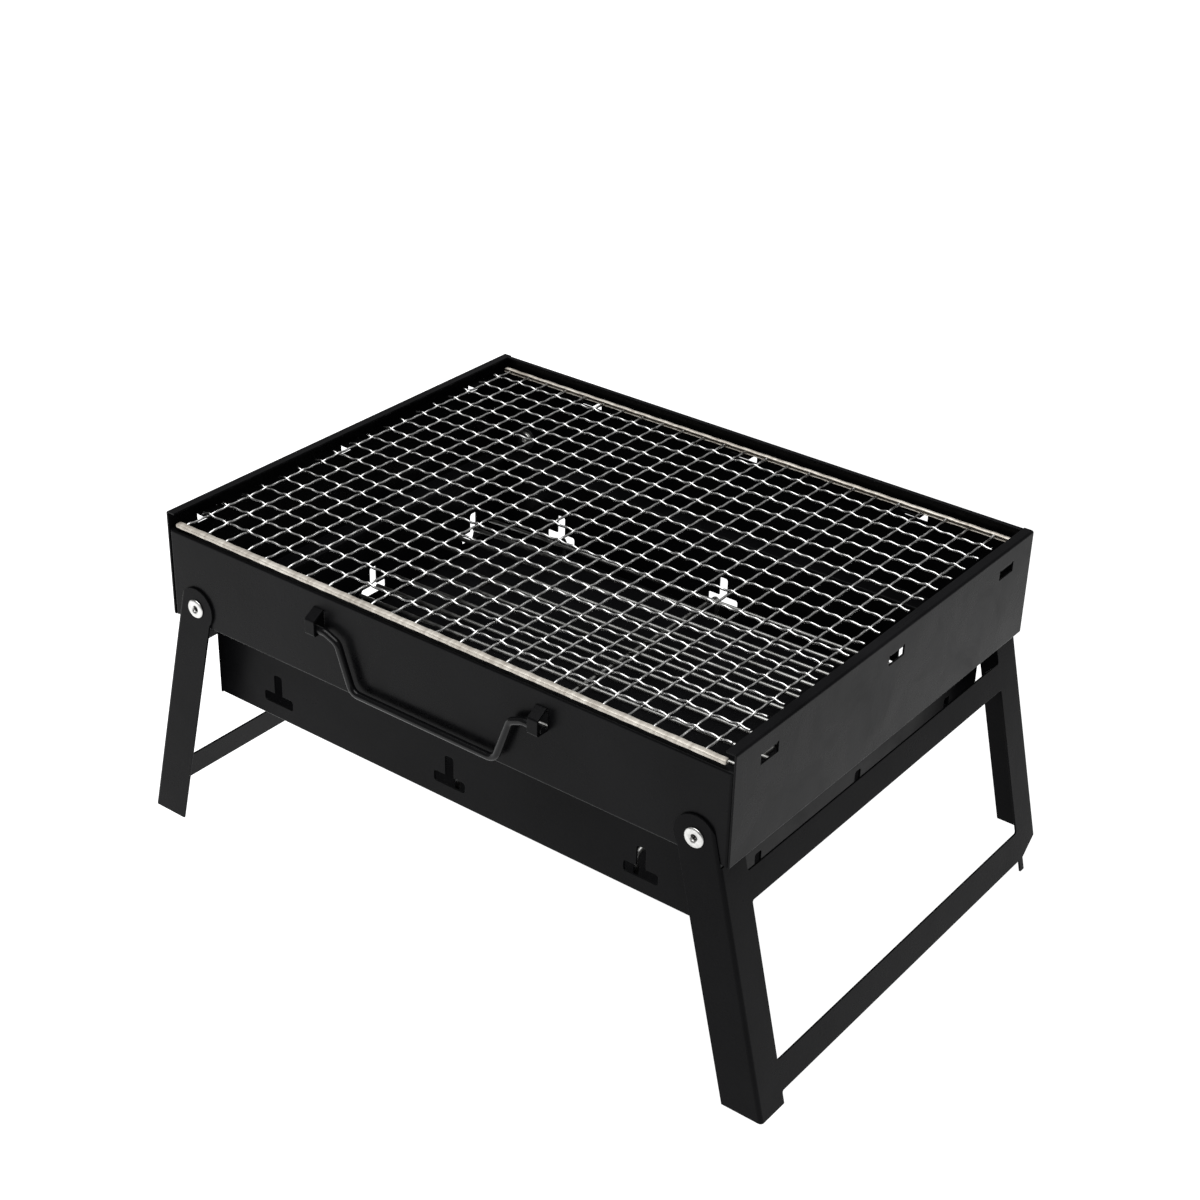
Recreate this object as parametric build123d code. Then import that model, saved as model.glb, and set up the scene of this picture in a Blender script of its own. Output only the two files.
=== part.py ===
"""Folding camp grill: a sheet-steel frame on two folding leg frames, with a fire tray, a charcoal
grate and a cooking grate that lift out, and a wire carrying handle on the front.

Millimetres. X runs along the long front, +Y to the back, +Z up. The origin is on the ground,
under the middle of the object's box.
"""
from build123d import *
from math import cos, radians, sin
import os

# --- driving dimensions -------------------------------------------------------------------------
BODY_LENGTH = 350.0          # frame outside, along X
BODY_DEPTH = 267.0           # frame outside, along Y
RIM_Z = 191.0                # top rim above the ground
FRAME_HEIGHT = 60.0          # rear and end walls, rim to bottom edge
FRONT_DROP = 10.0            # the front wall's top edge lies this far under the rim
SHEET = 1.0                  # sheet thickness of walls, legs and tray
BEND = 0.3                   # inside radius of a folded edge
CORNER_ROUND = 1.8           # outside radius of the front and rear walls' upright corner folds

# --- frame ----------------------------------------------------------------------------------------
END_RIM = 5.5                # width of the end walls' top flange
REAR_RIM = 3.5
FRONT_HEM = 5.0
END_LIP = 11.5               # width of the end walls' bottom lip, which carries the tray
SIDE_LIP = 13.0              # the same on the front and rear walls
CORNER_TAB = 12.0            # tabs of the front and rear walls that lie inside the end walls
TAB_X = (-108.0, 0.0, 108.0)     # grate tabs along the rear wall
TAB_Y = (-107.0, 0.0, 107.0)     # grate tabs along each end wall
TAB_WIDTH = 14.0
TAB_REACH = 8.0              # inwards from the wall's outer face
TAB_TOP = 9.2                # under the rim
TAB_SLOT_HEIGHT = 5.8

# --- legs -----------------------------------------------------------------------------------------
PIVOT_X = 156.7
PIVOT_DROP = 50.0            # pivot axis under the rim
SPLAY = 13.5                 # degrees that a set-up leg stands outwards of plumb
LEG_OUT = 11.5               # pivot axis to the leg's outer plate
LEG_IN = 10.4                # pivot axis to the side flange's free edge
LEG_GAP = 0.3                # between the wall and the leg's side flange
LEG_BEND = 2.0
STRIP_TOP = 14.0             # the next six run down the leg from the pivot axis
CROSSPLATE = (24.6, 39.6)
CROSSBAR = (124.3, 141.0)
LEG_END = 160.0
STRIP_Y = 115.7              # inner edge of the plate's side strips
WINDOW_RADIUS = 1.2
REAR_CHAMFER_Y = 15.3        # cut off the rear feet's outer corner
REAR_CHAMFER_Z = (6.8, 14.1)    # its lower and upper end above the ground

# --- pivot rivets -----------------------------------------------------------------------------------
RIVET_RADIUS = 3.0
RIVET_BORE = 1.5
RIVET_HEAD = 5.2
RIVET_HEAD_HIGH = 1.1
RIVET_HEAD_ROUND = 0.8
RIVET_LIFT = 0.1             # play between the leg and the rivet's head
RIVET_ROLL_HIGH = 1.2        # rolled edge inside the wall
RIVET_ROLL_ROUND = 0.8
RIVET_CLEARANCE = 0.06       # radial, in the leg's hole
WASHER_RADIUS = 6.5
WASHER_THICK = 0.8

# --- handle -----------------------------------------------------------------------------------------
WIRE = 4.0                   # handle wire diameter
HANDLE_DROP = 27.5           # swing axis under the rim
HANDLE_OFF = 3.8             # swing axis in front of the wall
HANDLE_EYE = (61.5, 73.5)    # straight stretch of the wire in each loop, from the middle
HANDLE_SHOULDER = (54.0, 3.0)    # shoulder's corner: from the middle, and under the swing axis
HANDLE_BAR = (45.0, 27.7)    # grip bar's end: from the middle, and under the swing axis
HANDLE_BENDS = [6.0, 5.0, 6.0]   # radii along one side, from the loop to the bar
LOOP_X = 69.5
LOOP_WIDTH = 6.0
LOOP_TOP = 18.0              # upper end of each loop's strap, under the rim
LOOP_SLANT = 4.0             # height over which the strap runs out from the wall
LOOP_PLAY = 0.2              # between the wire and the strap
LOOP_SLIT = 0.4              # beside the strap, in the wall

# --- fire tray --------------------------------------------------------------------------------------
TRAY_X = 160.6               # half length outside
TRAY_Y = 118.2               # half depth outside
TRAY_FLANGE_X = 166.5        # the flange passes the grate tabs on its way out
TRAY_FLANGE_Y = 126.5
TRAY_BOTTOM = 109.3          # under the rim
TRAY_GAP = 0.2               # between the tray's flange and the lips that carry it
VENT_X = (-117.0, 0.0, 117.0)
VENT_Y = (-87.0, 0.0, 87.0)
VENT_BASE = (20.0, 6.0)      # width and height of the vent's foot
VENT_STEM = (5.5, 11.5)      # width and height of the slot that stands on it
VENT_BOTTOM = 100.5          # under the rim

# --- grates -----------------------------------------------------------------------------------------
GRATE_X = 169.2              # half length of the hems
GRATE_FRONT = -133.3
GRATE_REAR = 129.8
GRATE_MID = 6.8              # plane of the upper wires and the hems, under the rim
MESH_WIRE = 1.3
LONG_WIRES = 18              # along X
LONG_PITCH = 13.62
LONG_FIRST_Y = -116.2        # foremost of the wires along X
LONG_RIGHT_X = 162.8         # their right ends stop short of the hems' ends
CROSS_WIRES = 24             # along Y
CROSS_PITCH = 13.96
CROSS_FIRST_X = -164.6       # leftmost of the wires along Y
HEM_WIDTH = 3.2              # folded strips on the mesh's front and rear edges
HEM_THICK = 0.4
HEM_ROOM = 1.7               # inside height
HEM_ROUND = 0.9
WIRE_PLAY = 0.02             # between the two layers of a mesh

COAL_WIRE = 2.6
COAL_PITCH = 15.0
COAL_BARS = 15
COAL_DROP = 90.0             # axis of the bars under the rim
COAL_HALF = 155.0
COAL_FEET_X = (-110.0, 0.0, 110.0)
COAL_FOOT_Y = 112.0
COAL_FOOT_BEND = 4.0

# --- worked out -------------------------------------------------------------------------------------
HALF_X = BODY_LENGTH / 2
HALF_Y = BODY_DEPTH / 2
WALL_X = HALF_X - SHEET                      # inner face of the end walls
WALL_Y = HALF_Y - SHEET
BASE_Z = RIM_Z - FRAME_HEIGHT
PIVOT_Z = RIM_Z - PIVOT_DROP
FLANGE_Y = HALF_Y + LEG_GAP + SHEET          # outer face of the legs' side flanges
RIVET_FACE = FLANGE_Y + RIVET_LIFT                 # underside of the rivet heads
RIVET_TOP = RIVET_FACE + RIVET_HEAD_HIGH
HANDLE_Y = -HALF_Y - HANDLE_OFF
HANDLE_Z = RIM_Z - HANDLE_DROP
LOOP_FACE_Y = HANDLE_Y - WIRE / 2 - LOOP_PLAY - SHEET    # foremost face of the whole grill
LOOP_TOP_Z = RIM_Z - LOOP_TOP
LOOP_BOTTOM_Z = HANDLE_Z - WIRE / 2 - LOOP_PLAY - SHEET
SHIFT_Y = -(LOOP_FACE_Y + RIVET_TOP) / 2     # puts the origin under the middle of the box
TRAY_FLANGE_Z = BASE_Z + SHEET + TRAY_GAP    # underside of the tray's flange
TRAY_FLOOR_Z = RIM_Z - TRAY_BOTTOM


def block(x0, x1, y0, y1, z0, z1):
    """A box from its low and high corners."""
    return Pos((x0 + x1) / 2, (y0 + y1) / 2, (z0 + z1) / 2) * Box(x1 - x0, y1 - y0, z1 - z0)


def left_normal(a, b):
    """Unit normal on the left of the run from a to b."""
    run = Vector(b[0] - a[0], b[1] - a[1], 0).normalized()
    return Vector(-run.Y, run.X, 0)


def bent_section(path):
    """Cross-section of a bent sheet: path is its outer side, with the sheet on the left."""
    normals = [left_normal(a, b) for a, b in zip(path, path[1:])]
    inner = [Vector(*path[0], 0) + normals[0] * SHEET]
    for corner, before, after in zip(path[1:-1], normals, normals[1:]):
        inner.append(Vector(*corner, 0) + (before + after) * (SHEET / (1 + before.dot(after))))
    inner.append(Vector(*path[-1], 0) + normals[-1] * SHEET)
    face = make_face(Polyline([Vector(*p, 0) for p in path] + inner[::-1], close=True))
    bends = zip(path[1:-1], inner[1:-1], normals, normals[1:])
    for corner, inside, before, after in bends:
        turn_left = before.cross(after).Z > 0
        outer_radius = BEND + SHEET if turn_left else BEND
        inner_radius = BEND if turn_left else BEND + SHEET
        for point, radius in ((Vector(*corner, 0), outer_radius), (inside, inner_radius)):
            vertex = face.vertices().sort_by_distance(point)[0]
            face = fillet(vertex, radius)
    return face


def sheet_along_y(path, y0, y1):
    """A bent sheet whose section path is in (x, z), running from y0 to y1."""
    section = Plane.XZ * bent_section(path)
    return Pos(0, y1, 0) * extrude(section, y1 - y0)


def sheet_along_x(path, x0, x1):
    """A bent sheet whose section path is in (y, z), running from x0 to x1."""
    section = Plane.YZ * bent_section(path)
    return Pos(x0, 0, 0) * extrude(section, x1 - x0)


# --- frame ----------------------------------------------------------------------------------------

def right_end_wall():
    """End wall with a top flange, a bottom lip and three lanced tabs."""
    rim = [(HALF_X - END_RIM, RIM_Z), (HALF_X, RIM_Z)]
    path = rim + [(HALF_X, BASE_Z), (HALF_X - END_LIP, BASE_Z)]
    wall = sheet_along_y(path[::-1], -HALF_Y, HALF_Y)
    lip_end = WALL_Y - CORNER_TAB
    for side in (-1, 1):
        low, high = sorted((side * (lip_end - 0.5), side * (HALF_Y + 1)))
        wall -= block(WALL_X - END_LIP, WALL_X, low, high, BASE_Z - 1, BASE_Z + 2)
    tab_z = RIM_Z - TAB_TOP
    for y in TAB_Y:
        half = TAB_WIDTH / 2
        wall -= block(WALL_X - 1, HALF_X + 1, y - half, y + half, tab_z - TAB_SLOT_HEIGHT, tab_z)
        wall += block(HALF_X - TAB_REACH, HALF_X - 0.2, y - half + 1, y + half - 1, tab_z - SHEET, tab_z)
    return wall


def rear_wall():
    """Rear wall with a top flange, a bottom lip, corner tabs and three lanced tabs."""
    path = [(HALF_Y - REAR_RIM, RIM_Z), (HALF_Y, RIM_Z), (HALF_Y, BASE_Z), (HALF_Y - SIDE_LIP, BASE_Z)]
    wall = sheet_along_x(path[::-1], -WALL_X, WALL_X)
    rim_end = HALF_X - END_RIM - 0.3
    for side in (-1, 1):
        low, high = sorted((side * rim_end, side * HALF_X))
        wall -= block(low, high, WALL_Y - REAR_RIM, HALF_Y + 1, RIM_Z - SHEET, RIM_Z + 1)
        low, high = sorted((side * (WALL_X - SHEET), side * HALF_X))
        wall -= block(low, high, WALL_Y - REAR_RIM, HALF_Y + 1, RIM_Z - SHEET - BEND, RIM_Z + 1)
    wall += corner_tabs(1, RIM_Z - SHEET - BEND - 0.5)
    tab_z = RIM_Z - TAB_TOP
    for x in TAB_X:
        half = TAB_WIDTH / 2
        wall -= block(x - half, x + half, WALL_Y - 1, HALF_Y + 1, tab_z - TAB_SLOT_HEIGHT, tab_z)
        wall += block(x - half + 1, x + half - 1, HALF_Y - TAB_REACH, HALF_Y - 0.2, tab_z - SHEET, tab_z)
    for side in (-1, 1):
        wall -= corner_round(side, 1)
    return wall


def corner_tabs(side, top):
    """Two tabs at the ends of the front (-1) or rear (+1) wall, flat against the end walls."""
    low, high = sorted((side * (WALL_Y - CORNER_TAB), side * (HALF_Y - 0.3)))
    tabs = block(WALL_X - SHEET, WALL_X, low, high, BASE_Z, top)
    return tabs + mirror(tabs, Plane.YZ)


def corner_round(side_x, side_y):
    """Cutter that rounds the upright fold between the front or rear wall and one of its tabs."""
    x = side_x * (WALL_X - CORNER_ROUND)
    y = side_y * (HALF_Y - CORNER_ROUND)
    low_x, high_x = sorted((x, side_x * HALF_X))
    low_y, high_y = sorted((y, side_y * (HALF_Y + 1)))
    corner = block(low_x, high_x, low_y, high_y, BASE_Z - 1, RIM_Z + 1)
    return corner - Pos(x, y, BASE_Z) * Cylinder(CORNER_ROUND, 4 * FRAME_HEIGHT)


def front_wall():
    """Front wall, lower than the rest, with a hemmed top edge and the handle's lancing slots."""
    top = RIM_Z - FRONT_DROP
    path = [(-HALF_Y + FRONT_HEM, top), (-HALF_Y, top), (-HALF_Y, BASE_Z), (-HALF_Y + SIDE_LIP, BASE_Z)]
    wall = sheet_along_x(path, -WALL_X, WALL_X)
    wall += corner_tabs(-1, top - SHEET - BEND)
    half = LOOP_WIDTH / 2 + LOOP_SLIT
    for x in (-LOOP_X, LOOP_X):
        wall -= block(x - half, x + half, -HALF_Y - 1, -WALL_Y + 1, LOOP_BOTTOM_Z, LOOP_TOP_Z)
    for side in (-1, 1):
        wall -= corner_round(side, -1)
    return drill_pivots(wall, RIVET_RADIUS)


def drill_pivots(body, radius):
    """Holes on both pivot axes, right through the body along Y."""
    for x in (-PIVOT_X, PIVOT_X):
        body -= Pos(x, 0, PIVOT_Z) * Rot(90, 0, 0) * Cylinder(radius, 2 * HALF_Y + 20)
    return body


def handle_loop(x):
    """A lanced strap that holds one end of the handle's wire against the front wall."""
    path = [
        (-WALL_Y, LOOP_TOP_Z),
        (-HALF_Y - LOOP_SLIT, LOOP_TOP_Z),
        (LOOP_FACE_Y, LOOP_TOP_Z - LOOP_SLANT),
        (LOOP_FACE_Y, LOOP_BOTTOM_Z),
        (-WALL_Y, LOOP_BOTTOM_Z),
    ]
    return sheet_along_x(path, x - LOOP_WIDTH / 2, x + LOOP_WIDTH / 2)


# --- leg pivots -------------------------------------------------------------------------------------

def pivot_rivet():
    """Tubular rivet: domed head outside the leg, rolled edge inside the wall. Axis +Z, head up."""
    roll_z = WALL_Y - WASHER_THICK
    head = Pos(0, 0, RIVET_FACE) * extrude(Circle(RIVET_HEAD), RIVET_TOP - RIVET_FACE)
    head = fillet(head.edges().group_by(Axis.Z)[-1], RIVET_HEAD_ROUND)
    shank = Pos(0, 0, roll_z) * extrude(Circle(RIVET_RADIUS), RIVET_FACE - roll_z)
    roll = Pos(0, 0, roll_z - RIVET_ROLL_HIGH) * extrude(Circle(RIVET_HEAD - 1), RIVET_ROLL_HIGH)
    roll = fillet(roll.edges().group_by(Axis.Z)[0], RIVET_ROLL_ROUND)
    bore = Pos(0, 0, roll_z - 5) * extrude(Circle(RIVET_BORE), RIVET_TOP - roll_z + 10)
    return head + shank + roll - bore


def pivot_washer():
    """Flat washer between the wall and the rivet's rolled edge. Axis +Z."""
    ring = extrude(Circle(WASHER_RADIUS) - Circle(RIVET_RADIUS), WASHER_THICK)
    return Pos(0, 0, WALL_Y - WASHER_THICK) * ring


def at_pivots(piece):
    """The piece, modelled along +Z from the frame's middle, at all four leg pivots."""
    front = Rot(90, 0, 0)
    rear = Rot(-90, 0, 0)
    return [Pos(x, 0, PIVOT_Z) * turn * piece for x in (-PIVOT_X, PIVOT_X) for turn in (front, rear)]


# --- legs -------------------------------------------------------------------------------------------

def right_leg():
    """One pressed sheet: outer plate with two windows, and a side flange round each pivot."""
    width = 2 * FLANGE_Y
    channel = Pos(LEG_OUT, 0, 0) * Box(2 * LEG_OUT, width, 2 * LEG_END)
    channel = fillet(channel.edges().filter_by(Axis.Z).group_by(Axis.X)[-1], LEG_BEND)
    channel = Pos(-LEG_OUT, 0, 0) * channel
    core = Pos(LEG_OUT - SHEET, 0, 0) * Box(2 * LEG_OUT, width - 2 * SHEET, 2 * LEG_END + 2)
    core = fillet(core.edges().filter_by(Axis.Z).group_by(Axis.X)[-1], LEG_BEND - SHEET)
    channel -= Pos(-LEG_OUT, 0, 0) * core

    outline = Circle(LEG_OUT)
    flank = Pos((LEG_OUT - LEG_IN) / 2, -LEG_END / 2)
    outline += flank * Rectangle(LEG_OUT + LEG_IN, LEG_END)
    flanges = Rot(90, 0, 0) * extrude(outline, FLANGE_Y + 5, both=True)
    leg = channel & flanges

    inside = FLANGE_Y - SHEET
    leg -= block(-LEG_OUT - 1, LEG_OUT + 1, -inside, inside, -STRIP_TOP, LEG_OUT + 1)
    leg -= window(-CROSSPLATE[0], LEG_OUT + 5)
    leg -= window(-CROSSBAR[0], -CROSSPLATE[1])
    leg -= window(-LEG_END - 20, -CROSSBAR[1])
    for y in (-FLANGE_Y, FLANGE_Y):
        hole = Cylinder(RIVET_RADIUS + RIVET_CLEARANCE, 10)
        leg -= Pos(0, y, 0) * Rot(90, 0, 0) * hole

    leg = Pos(PIVOT_X, 0, PIVOT_Z) * Rot(0, -SPLAY, 0) * leg
    leg -= block(0, 300, -200, 200, -100, 0)
    return leg - rear_foot_chamfer()


def window(bottom, top):
    """Cutter for one window of the leg's plate, between its side strips."""
    cutter = Pos(LEG_OUT, 0, (bottom + top) / 2) * Box(8, 2 * STRIP_Y, top - bottom)
    return fillet(cutter.edges().filter_by(Axis.X), WINDOW_RADIUS)


def rear_foot_chamfer():
    """Cutter for the slanted outer corner of the rear foot."""
    foot_y = FLANGE_Y - REAR_CHAMFER_Y
    low, high = REAR_CHAMFER_Z
    corner = [(foot_y, -1), (FLANGE_Y + 1, -1), (FLANGE_Y + 1, high), (FLANGE_Y, high), (foot_y, low)]
    shape = Plane.YZ * make_face(Polyline([Vector(y, z, 0) for y, z in corner], close=True))
    return Pos(150, 0, 0) * extrude(shape, 100)


# --- handle -----------------------------------------------------------------------------------------

def handle_bail():
    """The carrying handle: one wire, straight in its two loops and cranked down to a grip bar."""
    side = [
        (HANDLE_EYE[1], 0, 0),
        (HANDLE_EYE[0], 0, 0),
        (HANDLE_SHOULDER[0], 0, -HANDLE_SHOULDER[1]),
        (HANDLE_BAR[0], 0, -HANDLE_BAR[1]),
    ]
    points = side + [(-x, y, z) for x, y, z in side[::-1]]
    route = FilletPolyline(*points, radius=HANDLE_BENDS + HANDLE_BENDS[::-1])
    wire = sweep(Plane(origin=route @ 0, z_dir=route % 0) * Circle(WIRE / 2), route)
    return Pos(0, HANDLE_Y, HANDLE_Z) * wire


# --- fire tray --------------------------------------------------------------------------------------

def vent():
    """Cutter for one vent, standing on the origin in the XZ plane."""
    base = Pos(0, VENT_BASE[1] / 2) * RectangleRounded(VENT_BASE[0], VENT_BASE[1], 1.5)
    stem = RectangleRounded(VENT_STEM[0], VENT_STEM[1] + 2, 1.5)
    stem = Pos(0, VENT_STEM[1] / 2 + VENT_BASE[1] - 1) * stem
    return Rot(90, 0, 0) * extrude(base + stem, 5, both=True)


def tray_shell():
    """Floor, front and rear of the tray in one folded sheet, with outward top flanges."""
    half = TRAY_X - SHEET
    path = [
        (-TRAY_FLANGE_Y, TRAY_FLANGE_Z),
        (-TRAY_Y, TRAY_FLANGE_Z),
        (-TRAY_Y, TRAY_FLOOR_Z),
        (TRAY_Y, TRAY_FLOOR_Z),
        (TRAY_Y, TRAY_FLANGE_Z),
        (TRAY_FLANGE_Y, TRAY_FLANGE_Z),
    ]
    shell = sheet_along_x(path, -half, half)
    for x in VENT_X:
        for y in (-TRAY_Y, TRAY_Y):
            shell -= Pos(x, y, RIM_Z - VENT_BOTTOM) * vent()
    return shell


def tray_right_end():
    """End panel of the tray with its outward top flange."""
    path = [(TRAY_X, TRAY_FLOOR_Z), (TRAY_X, TRAY_FLANGE_Z), (TRAY_FLANGE_X, TRAY_FLANGE_Z)]
    panel = sheet_along_y(path, -TRAY_FLANGE_Y, TRAY_FLANGE_Y)
    for side in (-1, 1):
        low, high = sorted((side * TRAY_Y, side * (TRAY_FLANGE_Y + 1)))
        below = TRAY_FLANGE_Z - 0.01
        panel -= block(TRAY_X - 5, TRAY_X + SHEET + BEND, low, high, TRAY_FLOOR_Z - 1, below)
    for y in VENT_Y:
        panel -= Pos(TRAY_X, y, RIM_Z - VENT_BOTTOM) * Rot(0, 0, 90) * vent()
    return panel


# --- grates -----------------------------------------------------------------------------------------

def rod_x(radius, x0, x1, y, z):
    """A straight wire along X."""
    return Pos((x0 + x1) / 2, y, z) * Rot(0, 90, 0) * Cylinder(radius, x1 - x0)


def rod_y(radius, y0, y1, x, z):
    """A straight wire along Y."""
    return Pos(x, (y0 + y1) / 2, z) * Rot(90, 0, 0) * Cylinder(radius, y1 - y0)


def grate_long_wires():
    """Wires of the cooking grate along X, the lower layer."""
    z = RIM_Z - GRATE_MID - MESH_WIRE - WIRE_PLAY
    rows = [LONG_FIRST_Y + i * LONG_PITCH for i in range(LONG_WIRES)]
    return [rod_x(MESH_WIRE / 2, -GRATE_X, LONG_RIGHT_X, y, z) for y in rows]


def grate_cross_wires():
    """Wires of the cooking grate along Y, the upper layer; their ends lie inside the two hems."""
    z = RIM_Z - GRATE_MID
    columns = [CROSS_FIRST_X + i * CROSS_PITCH for i in range(CROSS_WIRES)]
    y0 = GRATE_FRONT + HEM_THICK + 0.3
    y1 = GRATE_REAR - HEM_THICK - 0.3
    return [rod_y(MESH_WIRE / 2, y0, y1, x, z) for x in columns]


def grate_hem(edge_y, inward):
    """Folded strip over the wire ends; inward is +1 on the front edge and -1 on the rear one."""
    half = HEM_ROOM / 2 + HEM_THICK
    z = RIM_Z - GRATE_MID
    low, high = sorted((edge_y, edge_y + inward * HEM_WIDTH))
    strip = block(-GRATE_X, GRATE_X, low, high, z - half, z + half)
    outer_edges = strip.edges().filter_by(Axis.X).sort_by(Axis.Y)
    strip = fillet(outer_edges[:2] if inward > 0 else outer_edges[-2:], HEM_ROUND)
    low, high = sorted((edge_y + inward * HEM_THICK, edge_y + inward * (HEM_WIDTH + 1)))
    return strip - block(-GRATE_X - 1, GRATE_X + 1, low, high, z - HEM_ROOM / 2, z + HEM_ROOM / 2)


def coal_bars():
    """Bars of the charcoal grate, along X."""
    rows = [(i - (COAL_BARS - 1) / 2) * COAL_PITCH for i in range(COAL_BARS)]
    return [rod_x(COAL_WIRE / 2, -COAL_HALF, COAL_HALF, y, RIM_Z - COAL_DROP) for y in rows]


def coal_foot_wire(x):
    """Cross wire under the bars, with both ends bent down to stand on the tray's floor."""
    top = RIM_Z - COAL_DROP - COAL_WIRE - WIRE_PLAY
    floor = TRAY_FLOOR_Z + SHEET + 0.3
    side = [(-COAL_FOOT_Y, floor), (-COAL_FOOT_Y, top), (COAL_FOOT_Y, top), (COAL_FOOT_Y, floor)]
    route = FilletPolyline(*[(x, y, z) for y, z in side], radius=COAL_FOOT_BEND)
    return sweep(Plane(origin=route @ 0, z_dir=route % 0) * Circle(COAL_WIRE / 2), route)


# --- all pieces -------------------------------------------------------------------------------------

def all_nodes():
    """Every node of the grill by name, in the frame's own place."""
    end = right_end_wall()
    leg = right_leg()
    panel = tray_right_end()
    return {
        "front_wall": front_wall(),
        "rear_wall": drill_pivots(rear_wall(), RIVET_RADIUS),
        "left_end_wall": mirror(end, Plane.YZ),
        "right_end_wall": end,
        "handle_loop_left": handle_loop(-LOOP_X),
        "handle_loop_right": handle_loop(LOOP_X),
        "pivot_rivets": Compound(at_pivots(pivot_rivet())),
        "pivot_washers": Compound(at_pivots(pivot_washer())),
        "left_leg_frame": mirror(leg, Plane.YZ),
        "right_leg_frame": leg,
        "handle_bail": handle_bail(),
        "tray_shell": tray_shell(),
        "tray_left_end": mirror(panel, Plane.YZ),
        "tray_right_end": panel,
        "charcoal_bars": Compound(coal_bars()),
        "charcoal_foot_wires": Compound([coal_foot_wire(x) for x in COAL_FEET_X]),
        "grate_long_wires": Compound(grate_long_wires()),
        "grate_cross_wires": Compound(grate_cross_wires()),
        "grate_front_hem": grate_hem(GRATE_FRONT, 1),
        "grate_rear_hem": grate_hem(GRATE_REAR, -1),
    }


os.makedirs("parts", exist_ok=True)
for name, node in all_nodes().items():
    export_step(Pos(0, SHIFT_Y, 0) * node, f"parts/{name}.step")
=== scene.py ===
"""Looks of the folding camp grill: camera, studio, materials and the pieces made in Blender.

Metres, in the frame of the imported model: X along the long front, +Y to the back, +Z up, floor at 0.
"""
import math

import bpy
from mathutils import Euler, Matrix, Vector


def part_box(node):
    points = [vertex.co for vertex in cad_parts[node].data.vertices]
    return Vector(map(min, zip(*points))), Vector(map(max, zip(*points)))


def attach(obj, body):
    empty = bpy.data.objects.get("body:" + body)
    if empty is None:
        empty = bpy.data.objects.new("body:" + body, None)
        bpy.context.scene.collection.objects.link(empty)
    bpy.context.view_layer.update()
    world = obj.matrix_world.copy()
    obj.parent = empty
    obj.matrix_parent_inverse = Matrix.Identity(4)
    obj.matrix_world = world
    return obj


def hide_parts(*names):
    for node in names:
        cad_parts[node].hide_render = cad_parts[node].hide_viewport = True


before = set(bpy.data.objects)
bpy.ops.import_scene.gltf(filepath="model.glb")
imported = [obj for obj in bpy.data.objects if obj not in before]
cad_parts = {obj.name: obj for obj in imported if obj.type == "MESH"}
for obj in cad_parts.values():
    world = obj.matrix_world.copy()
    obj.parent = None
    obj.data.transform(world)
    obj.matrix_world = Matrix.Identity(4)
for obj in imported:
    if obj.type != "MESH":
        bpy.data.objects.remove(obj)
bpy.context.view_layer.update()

MM = 0.001

# --- camera ---------------------------------------------------------------------------------------
CAMERA_PLACE = (0.5839, -0.7780, 0.6960)
CAMERA_TILT = 60.504         # degrees from straight down
CAMERA_TURN = 36.769
CAMERA_ROLL = 1.606
CAMERA_LENS = 64.892         # millimetres, like the sensor's width
CAMERA_SENSOR = 36.0

# --- studio ---------------------------------------------------------------------------------------
FLOOR_HALF = 12.0
FLOOR_GLOW = 2.0             # the floor is a glowing sheet, so shadows on it stay faint
FLOOR_DROP = 0.3 * MM        # how far the sheet lies under the feet
FLOOR_GREYS = (0.11, 0.13)   # its own colour varies between these
FLOOR_TONES = [(0.0, 0.70), (0.35, 0.70), (0.50, 0.52), (0.70, 0.52), (0.84, 0.22)]
FLOOR_TONE_REACH = 0.9       # the tones run from minus this distance to plus this distance
FLOOR_TONE_TURN = 21.0       # degrees from X to the direction in which they run
WORLD_STRENGTH = 0.20
CEILING_WATTS = 115.0
CEILING_SIZE = 3.0
CEILING_HEIGHT = 3.0

# --- materials ------------------------------------------------------------------------------------
BLACK = (0.0030, 0.0030, 0.0034)
SOFT_BLACK = (0.0065, 0.0065, 0.0072)
EDGE_ROUND = 0.35 * MM       # look of the painted sheet's edges
BEVEL_SAMPLES = 4
SOCKETS = {"colour": "Base Color", "roughness": "Roughness", "normal": "Normal"}

# --- cooking grate --------------------------------------------------------------------------------
LONG_WIRES = 18              # along X, deeply crimped
CROSS_WIRES = 24             # along Y, nearly straight
LONG_CRIMP = (0.90, 0.30)    # heights of the crimps and of the ripple between, in wire radii
CROSS_CRIMP = (0.65, 0.15)   # all four sum to 2, so that the wires touch where they cross
CRIMP_WIDTH = 0.14           # half-width of a crimp, as a share of the pitch
LONG_SKEW = -0.0125          # slope of the long wires in plan
CRIMP_STEPS = 18             # points along a wire from one crossing to the next
WIRE_SIDES = 10

# --- edge strips of the cooking grate -------------------------------------------------------------
HEM_THICK = 0.4 * MM
HEM_ROUND = 0.9 * MM
HEM_PINCH = 0.16             # share of its height that the strip loses between two wires
HEM_END = 1.6 * MM           # length over which each end is rounded off
HEM_END_STEPS = 8
HEM_END_TALL = 0.6           # share of its height that is left at the very end
HEM_END_NARROW = 0.3         # share of its width that is lost there
HEM_END_INSET = 0.15         # of which this share from the outer edge
HEM_STEP = 1.2 * MM

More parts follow.
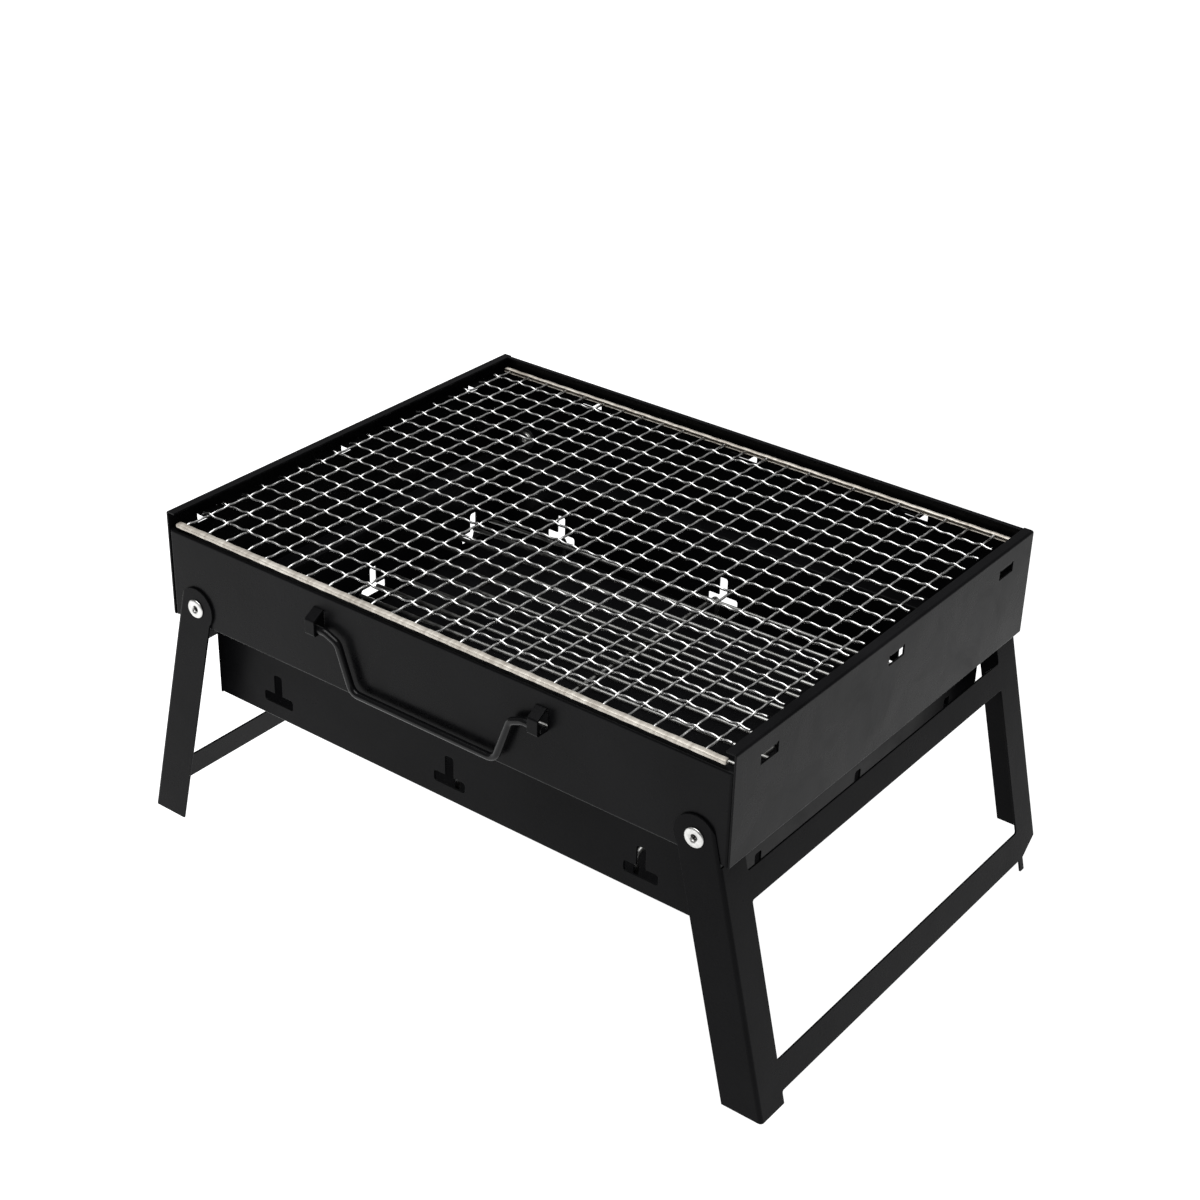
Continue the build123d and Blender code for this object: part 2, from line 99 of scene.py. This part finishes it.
# --- pivot rivets, as (radius, depth under the top of the head) in millimetres --------------------
RIVET_PROFILE = [
    (1.5, 5.3), (1.62, 5.42), (2.1, 5.5), (3.2, 5.5), (3.9, 5.3), (4.2, 4.9), (4.2, 4.4), (4.1, 4.3),
    (3.1, 4.3), (3.0, 4.2), (3.0, 1.2), (3.1, 1.1), (5.0, 1.1), (5.15, 1.08), (5.2, 0.98), (5.15, 0.7),
    (4.95, 0.42), (4.6, 0.2), (4.1, 0.06), (3.5, 0.0), (2.9, 0.04), (2.35, 0.2), (1.9, 0.5), (1.62, 0.9),
    (1.5, 1.4),
]
RIVET_SIDES = 48

# --- charcoal grate -------------------------------------------------------------------------------
COAL_SKEW = math.radians(2.0)
COAL_INSET = 3 * MM          # keeps the skewed bars inside the CAD bars' box
COAL_BARS = 15


# === node helpers =================================================================================

class Nodes:
    """A material's node tree, with short calls for the nodes used here."""

    def __init__(self, name):
        self.material = bpy.data.materials.new(name)
        self.material.use_nodes = True
        self.tree = self.material.node_tree
        self.shader = self.tree.nodes["Principled BSDF"]
        self.place = self.add("ShaderNodeTexCoord").outputs["Object"]

    def add(self, kind, **settings):
        node = self.tree.nodes.new(kind)
        for key, value in settings.items():
            setattr(node, key, value)
        return node

    def join(self, output, socket):
        self.tree.links.new(output, socket)

    def stretched(self, scale):
        """The place, scaled along each axis."""
        mapping = self.add("ShaderNodeMapping")
        mapping.inputs["Scale"].default_value = scale
        self.join(self.place, mapping.inputs["Vector"])
        return mapping.outputs["Vector"]

    def noise(self, scale, detail=2.0, rough=0.5, distortion=0.0, vector=None):
        node = self.add("ShaderNodeTexNoise")
        node.inputs["Scale"].default_value = scale
        node.inputs["Detail"].default_value = detail
        node.inputs["Roughness"].default_value = rough
        node.inputs["Distortion"].default_value = distortion
        self.join(vector or self.place, node.inputs["Vector"])
        return node.outputs["Fac"]

    def ranged(self, value, low, high, to_low, to_high):
        node = self.add("ShaderNodeMapRange")
        for key, number in zip(("From Min", "From Max", "To Min", "To Max"), (low, high, to_low, to_high)):
            node.inputs[key].default_value = number
        self.join(value, node.inputs["Value"])
        return node.outputs["Result"]

    def ramp(self, value, stops):
        """A colour ramp from a list of (position, colour)."""
        node = self.add("ShaderNodeValToRGB")
        elements = node.color_ramp.elements
        while len(elements) < len(stops):
            elements.new(0.5)
        for element, (position, colour) in zip(elements, stops):
            element.position = position
            element.color = (*colour, 1.0)
        self.join(value, node.inputs["Fac"])
        return node.outputs["Color"]

    def math(self, operation, a, b):
        node = self.add("ShaderNodeMath", operation=operation)
        for socket, value in zip(node.inputs, (a, b)):
            if isinstance(value, (int, float)):
                socket.default_value = value
            else:
                self.join(value, socket)
        return node.outputs["Value"]

    def bump(self, height, strength, distance, normal=None):
        node = self.add("ShaderNodeBump")
        node.inputs["Strength"].default_value = strength
        node.inputs["Distance"].default_value = distance
        self.join(height, node.inputs["Height"])
        if normal is not None:
            self.join(normal, node.inputs["Normal"])
        return node.outputs["Normal"]

    def bevel(self, radius):
        """Normals as if every edge were rounded by the radius."""
        node = self.add("ShaderNodeBevel")
        node.samples = BEVEL_SAMPLES
        node.inputs["Radius"].default_value = radius
        return node.outputs["Normal"]

    def to_shader(self, **outputs):
        for key, output in outputs.items():
            self.join(output, self.shader.inputs[SOCKETS[key]])


# === materials ====================================================================================

def paint(name, dark, light, rough, specular, peel=0.10):
    """Baked black enamel on sheet steel: orange peel, uneven gloss and a trace of dust."""
    n = Nodes(name)
    n.shader.inputs["Specular IOR Level"].default_value = specular
    patches = n.noise(14.0, detail=4.0, rough=0.6)
    specks = n.noise(900.0, detail=2.0)
    mixed = n.math("ADD", n.math("MULTIPLY", patches, 0.75), n.math("MULTIPLY", specks, 0.25))
    n.to_shader(colour=n.ramp(mixed, [(0.35, dark), (0.68, light)]))
    smears = n.noise(30.0, detail=5.0, rough=0.65, distortion=0.6)
    n.to_shader(roughness=n.ranged(smears, 0.3, 0.7, rough - 0.07, rough + 0.09))
    waves = n.bump(n.noise(45.0, detail=1.0), 0.08, 1.2 * MM, n.bevel(EDGE_ROUND))
    n.to_shader(normal=n.bump(n.noise(520.0, detail=2.0), peel, 0.25 * MM, waves))
    return n.material


def bright_wire(name, dark, light, rough, stretch):
    """Chrome-plated drawn wire, with faint draw marks along it."""
    n = Nodes(name)
    n.shader.inputs["Metallic"].default_value = 1.0
    tint = n.noise(60.0, detail=3.0)
    n.to_shader(colour=n.ramp(tint, [(0.3, dark), (0.7, light)]))
    n.to_shader(roughness=n.ranged(n.noise(220.0, detail=3.0), 0.3, 0.7, rough - 0.06, rough + 0.10))
    marks = n.noise(900.0, detail=2.0, vector=n.stretched(stretch))
    n.to_shader(normal=n.bump(marks, 0.12, 0.15 * MM))
    return n.material


def zinc(name):
    """Dull bright zinc plating of the rivets and washers."""
    n = Nodes(name)
    n.shader.inputs["Metallic"].default_value = 1.0
    spangle = n.noise(420.0, detail=4.0, rough=0.6)
    n.to_shader(colour=n.ramp(spangle, [(0.3, (0.52, 0.52, 0.51)), (0.7, (0.80, 0.80, 0.78))]))
    n.to_shader(roughness=n.ranged(spangle, 0.3, 0.7, 0.24, 0.42))
    n.to_shader(normal=n.bump(n.noise(1500.0, detail=2.0), 0.15, 0.1 * MM))
    return n.material


def strip_metal(name):
    """Folded strip along the mesh's edges: dull, slightly warm plating, pressed with fine ribs."""
    n = Nodes(name)
    n.shader.inputs["Metallic"].default_value = 0.4
    tint = n.noise(25.0, detail=4.0, rough=0.6)
    ribs = n.noise(420.0, detail=2.0, vector=n.stretched((1.0, 0.15, 0.15)))
    mixed = n.math("ADD", n.math("MULTIPLY", tint, 0.5), n.math("MULTIPLY", ribs, 0.5))
    n.to_shader(colour=n.ramp(mixed, [(0.36, (0.40, 0.36, 0.31)), (0.62, (0.74, 0.70, 0.63))]))
    n.to_shader(roughness=n.ranged(n.noise(90.0, detail=4.0), 0.3, 0.7, 0.42, 0.58))
    n.to_shader(normal=n.bump(ribs, 0.35, 0.3 * MM))
    return n.material


# === meshes =======================================================================================

def add_mesh(name, vertices, faces, material, smooth=True):
    """A new object from points and faces, in one material."""
    mesh = bpy.data.meshes.new(name)
    mesh.from_pydata(vertices, [], faces)
    mesh.materials.append(material)
    mesh.polygons.foreach_set("use_smooth", [smooth] * len(mesh.polygons))
    mesh.update()
    piece = bpy.data.objects.new(name, mesh)
    bpy.context.scene.collection.objects.link(piece)
    return piece


def band(first, second, count):
    """Quads between two rings of count points, which start at vertices first and second."""
    return [
        (first + k, first + (k + 1) % count, second + (k + 1) % count, second + k) for k in range(count)
    ]


def add_tubes(name, paths, radius, sides, material):
    """One mesh of round wires, one along each path of points, with closed ends."""
    vertices, faces = [], []
    angles = [2 * math.pi * k / sides for k in range(sides)]
    for path in paths:
        last = len(path) - 1
        across = None
        for i, point in enumerate(path):
            along = (path[min(i + 1, last)] - path[max(i - 1, 0)]).normalized()
            across = along.orthogonal() if across is None else across - along * across.dot(along)
            across.normalize()
            third = along.cross(across)
            start = len(vertices)
            vertices += [point + (across * math.cos(a) + third * math.sin(a)) * radius for a in angles]
            if i < last:
                faces += band(start, start + sides, sides)
        first_ring = len(vertices) - sides * (last + 1)
        faces.append(tuple(first_ring + k for k in reversed(range(sides))))
        faces.append(tuple(len(vertices) - sides + k for k in range(sides)))
    return add_mesh(name, vertices, faces, material)


def evenly(low, high, count):
    """count places from low to high."""
    return [low + (high - low) * i / (count - 1) for i in range(count)]


# === cooking grate ================================================================================

def wave(phase, heights):
    """Height of a wire where phase counts crossings: locked crimps, with a ripple in between."""
    crimp, ripple = heights
    nearest = round(phase)
    bump = crimp * math.exp(-(((phase - nearest) / CRIMP_WIDTH) ** 2))
    return ripple * math.cos(3 * math.pi * phase) + (bump if nearest % 2 == 0 else -bump)


def crossings(low, high, radius, count):
    """Places of the wires of one set, from the box of that set."""
    return evenly(low + radius, high - radius, count)


def crimped(low, high, places, parity, radius, heights):
    """(distance, height) pairs along one wire from low to high, crimped at the places."""
    pitch = places[1] - places[0]
    steps = round((high - low) / pitch * CRIMP_STEPS)
    return [
        (value, radius * wave((value - places[0]) / pitch + parity, heights))
        for value in evenly(low, high, steps + 1)
    ]


def woven_mesh(material):
    """The two sets of wires; each long wire passes over and under the cross wires in turn."""
    long_low, long_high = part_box("grate_long_wires")
    cross_low, cross_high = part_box("grate_cross_wires")
    radius = (cross_high.z - cross_low.z) / 2
    middle = (cross_high.z + cross_low.z) / 2
    rows = crossings(long_low.y, long_high.y, radius, LONG_WIRES)
    columns = crossings(cross_low.x, cross_high.x, radius, CROSS_WIRES)
    long_paths = []
    for i, y in enumerate(rows):
        waves = crimped(long_low.x, long_high.x, columns, i, radius, LONG_CRIMP)
        long_paths.append([Vector((x, y + LONG_SKEW * x, middle + z)) for x, z in waves])
    cross_paths = []
    for j, x in enumerate(columns):
        first = rows[0] + LONG_SKEW * x
        waves = crimped(cross_low.y, cross_high.y, [y - rows[0] + first for y in rows], j + 1,
                        radius, CROSS_CRIMP)
        cross_paths.append([Vector((x, y, middle + z)) for y, z in waves])
    for name, paths, node in (
        ("mesh_long_wires", long_paths, "grate_long_wires"),
        ("mesh_cross_wires", cross_paths, "grate_cross_wires"),
    ):
        piece = add_tubes(name, paths, radius, WIRE_SIDES, material)
        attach(piece, "cooking_grate")
        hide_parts(node)
    return columns


def arc(centre, radius, start, end, steps=5):
    """Points of an arc, angles in degrees."""
    angles = [math.radians(start + (end - start) * k / steps) for k in range(steps + 1)]
    return [(centre[0] + radius * math.cos(a), centre[1] + radius * math.sin(a)) for a in angles]


def strip_section(width, half):
    """Closed section of the folded strip: (distance from the outer edge, height)."""
    inner = half - HEM_THICK
    inner_round = HEM_ROUND - HEM_THICK
    outside = [(width, half)] + arc((HEM_ROUND, half - HEM_ROUND), HEM_ROUND, 90, 180)
    inside = arc((HEM_ROUND, inner - inner_round), inner_round, 180, 90) + [(width, inner)]
    lower_outside = [(a, -b) for a, b in outside[::-1]]
    lower_inside = [(a, -b) for a, b in inside[::-1]]
    return outside + lower_outside + lower_inside + inside


def edge_strip(name, node, inward, columns, material):
    """Folded strip over the wire ends, pinched between the wires and rounded at both ends."""
    low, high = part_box(node)
    middle = (high.z + low.z) / 2
    half = (high.z - low.z) / 2
    edge = low.y if inward > 0 else high.y
    section = strip_section(high.y - low.y, half)
    count = len(section)
    pitch = columns[1] - columns[0]
    ends = [HEM_END * (1 - math.cos(math.pi / 2 * k / HEM_END_STEPS)) for k in range(HEM_END_STEPS)]
    inner = evenly(low.x + HEM_END, high.x - HEM_END, round((high.x - low.x) / HEM_STEP))
    stations = [low.x + d for d in ends] + inner + [high.x - d for d in reversed(ends)]
    vertices, faces = [], []
    for x in stations:
        between = 0.5 - 0.5 * math.cos(2 * math.pi * (x - columns[0]) / pitch)
        from_end = min(x - low.x, high.x - x, HEM_END) / HEM_END
        taper = math.sqrt(1 - (1 - from_end) ** 2)
        tall = (1 - HEM_PINCH * between) * (HEM_END_TALL + (1 - HEM_END_TALL) * taper)
        corner = HEM_END_INSET * (1 - taper) * (high.y - low.y)
        wide = 1 - HEM_END_NARROW * (1 - taper)
        start = len(vertices)
        vertices += [
            Vector((x, edge + inward * (a * wide + corner), middle + b * tall)) for a, b in section
        ]
        if x > stations[0]:
            faces += band(start - count, start, count)
    faces.append(tuple(reversed(range(count))))
    faces.append(tuple(len(vertices) - count + k for k in range(count)))
    piece = add_mesh(name, vertices, faces, material)
    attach(piece, "cooking_grate")
    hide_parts(node)


# === pivot rivets =================================================================================

def pivot_rivets(material):
    """Four tubular rivets, turned from one profile, heads outwards."""
    low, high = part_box("pivot_rivets")
    widest = max(radius for radius, depth in RIVET_PROFILE) * MM
    z = (low.z + high.z) / 2
    vertices, faces = [], []
    count = len(RIVET_PROFILE)
    for x in (low.x + widest, high.x - widest):
        for top, outward in ((low.y, -1), (high.y, 1)):
            first = len(vertices)
            for k in range(RIVET_SIDES):
                angle = 2 * math.pi * k / RIVET_SIDES
                for radius, depth in RIVET_PROFILE:
                    across = radius * MM * math.cos(angle)
                    up = radius * MM * math.sin(angle)
                    vertices.append(Vector((x + across, top - outward * depth * MM, z + up)))
            for k in range(RIVET_SIDES):
                here = first + k * count
                there = first + (k + 1) % RIVET_SIDES * count
                for i in range(count):
                    j = (i + 1) % count
                    quad = (here + i, here + j, there + j, there + i)
                    faces.append(quad if outward < 0 else quad[::-1])
    piece = add_mesh("rivets", vertices, faces, material)
    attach(piece, "frame")
    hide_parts("pivot_rivets")


# === charcoal grate ===============================================================================

def coal_grate_bars(material):
    """The charcoal bars, lying slightly askew in the tray."""
    low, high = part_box("charcoal_bars")
    radius = (high.z - low.z) / 2
    turn = Matrix.Rotation(COAL_SKEW, 3, "Z")
    half = (high.x - low.x) / 2 - COAL_INSET
    centre = (low + high) / 2
    paths = []
    for y in evenly(low.y + radius + COAL_INSET, high.y - radius - COAL_INSET, COAL_BARS):
        points = (Vector((share * half, y - centre.y, 0)) for share in (-1, -0.5, 0, 0.5, 1))
        paths.append([centre + turn @ point for point in points])
    piece = add_tubes("coal_bars", paths, radius, WIRE_SIDES, material)
    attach(piece, "charcoal_grate")
    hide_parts("charcoal_bars")


# === studio =======================================================================================

def add_camera():
    """The camera of the photograph."""
    data = bpy.data.cameras.new("camera")
    data.sensor_width = CAMERA_SENSOR
    data.lens = CAMERA_LENS
    camera = bpy.data.objects.new("camera", data)
    aim = Euler((math.radians(CAMERA_TILT), 0, math.radians(CAMERA_TURN))).to_matrix()
    roll = Matrix.Rotation(math.radians(CAMERA_ROLL), 3, "Z")
    camera.matrix_world = Matrix.Translation(CAMERA_PLACE) @ (aim @ roll).to_4x4()
    bpy.context.scene.collection.objects.link(camera)
    bpy.context.scene.camera = camera


def add_floor():
    """White sheet that glows by itself, brighter on the left and dark far out on the right."""
    n = Nodes("floor_white")
    n.shader.inputs["Roughness"].default_value = 0.9
    n.shader.inputs["Specular IOR Level"].default_value = 0.1
    n.shader.inputs["Emission Strength"].default_value = FLOOR_GLOW
    turned = n.add("ShaderNodeMapping")
    turned.inputs["Rotation"].default_value = (0, 0, -math.radians(FLOOR_TONE_TURN))
    n.join(n.place, turned.inputs["Vector"])
    split = n.add("ShaderNodeSeparateXYZ")
    n.join(turned.outputs["Vector"], split.inputs["Vector"])
    along = n.ranged(split.outputs["X"], -FLOOR_TONE_REACH, FLOOR_TONE_REACH, 0, 1)
    glow = n.ramp(along, [(place, (tone, tone, tone)) for place, tone in FLOOR_TONES])
    n.join(glow, n.shader.inputs["Emission Color"])
    dark, light = ((grey, grey, grey) for grey in FLOOR_GREYS)
    n.to_shader(colour=n.ramp(n.noise(3.0), [(0.3, dark), (0.7, light)]))
    corners = [(-1, -1), (1, -1), (1, 1), (-1, 1)]
    vertices = [(x * FLOOR_HALF, y * FLOOR_HALF, -FLOOR_DROP) for x, y in corners]
    floor = add_mesh("floor", vertices, [(0, 1, 2, 3)], n.material, smooth=False)


def add_softbox(name, place, aim, width, height, power):
    """A rectangular light at place, turned towards aim."""
    data = bpy.data.lights.new(name, "AREA")
    data.shape = "RECTANGLE"
    data.size = width
    data.size_y = height
    data.energy = power
    light = bpy.data.objects.new(name, data)
    light.location = place
    light.rotation_euler = (Vector(aim) - Vector(place)).to_track_quat("-Z", "Y").to_euler()
    bpy.context.scene.collection.objects.link(light)


def add_studio():
    """Faint even surroundings and one large light overhead."""
    world = bpy.data.worlds.new("studio")
    world.use_nodes = True
    background = world.node_tree.nodes["Background"]
    background.inputs["Color"].default_value = (1, 1, 1, 1)
    background.inputs["Strength"].default_value = WORLD_STRENGTH
    bpy.context.scene.world = world
    bpy.context.scene.view_settings.view_transform = "Standard"
    place = (0, 0, CEILING_HEIGHT)
    add_softbox("ceiling", place, (0, 0, 0), CEILING_SIZE, CEILING_SIZE, CEILING_WATTS)


# === build ========================================================================================

frame_paint = paint("frame_paint", BLACK, SOFT_BLACK, rough=0.28, specular=0.065)
leg_paint = paint("leg_paint", BLACK, SOFT_BLACK, rough=0.30, specular=0.042)
tray_paint = paint("tray_paint", BLACK, SOFT_BLACK, rough=0.32, specular=0.045)
handle_paint = paint("handle_paint", BLACK, SOFT_BLACK, rough=0.16, specular=0.20, peel=0.04)
wire_metal = bright_wire(
    "mesh_wire", dark=(0.58, 0.58, 0.57), light=(0.82, 0.82, 0.81), rough=0.26, stretch=(1.0, 1.0, 1.0)
)
# Painted shade: the charcoal grate's bars and foot wires get a dark metal colour that stands for the shade
# they lie in, deep in the tray.
coal_metal_shaded = bright_wire(
    "coal_wire", dark=(0.22, 0.22, 0.21), light=(0.38, 0.38, 0.37), rough=0.38, stretch=(0.1, 1.0, 1.0)
)
rivet_zinc = zinc("rivet_zinc")
hem_metal = strip_metal("hem_strip")

NODE_MATERIALS = {
    "front_wall": frame_paint,
    "rear_wall": frame_paint,
    "left_end_wall": frame_paint,
    "right_end_wall": frame_paint,
    "handle_loop_left": frame_paint,
    "handle_loop_right": frame_paint,
    "pivot_washers": rivet_zinc,
    "left_leg_frame": leg_paint,
    "right_leg_frame": leg_paint,
    "handle_bail": handle_paint,
    "tray_shell": tray_paint,
    "tray_left_end": tray_paint,
    "tray_right_end": tray_paint,
    "charcoal_foot_wires": coal_metal_shaded,
}
for node_name, material in NODE_MATERIALS.items():
    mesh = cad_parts[node_name].data
    mesh.materials.clear()
    mesh.materials.append(material)

columns = woven_mesh(wire_metal)
edge_strip("mesh_front_strip", "grate_front_hem", 1, columns, hem_metal)
edge_strip("mesh_rear_strip", "grate_rear_hem", -1, columns, hem_metal)
pivot_rivets(rivet_zinc)
coal_grate_bars(coal_metal_shaded)
add_floor()
add_studio()
add_camera()
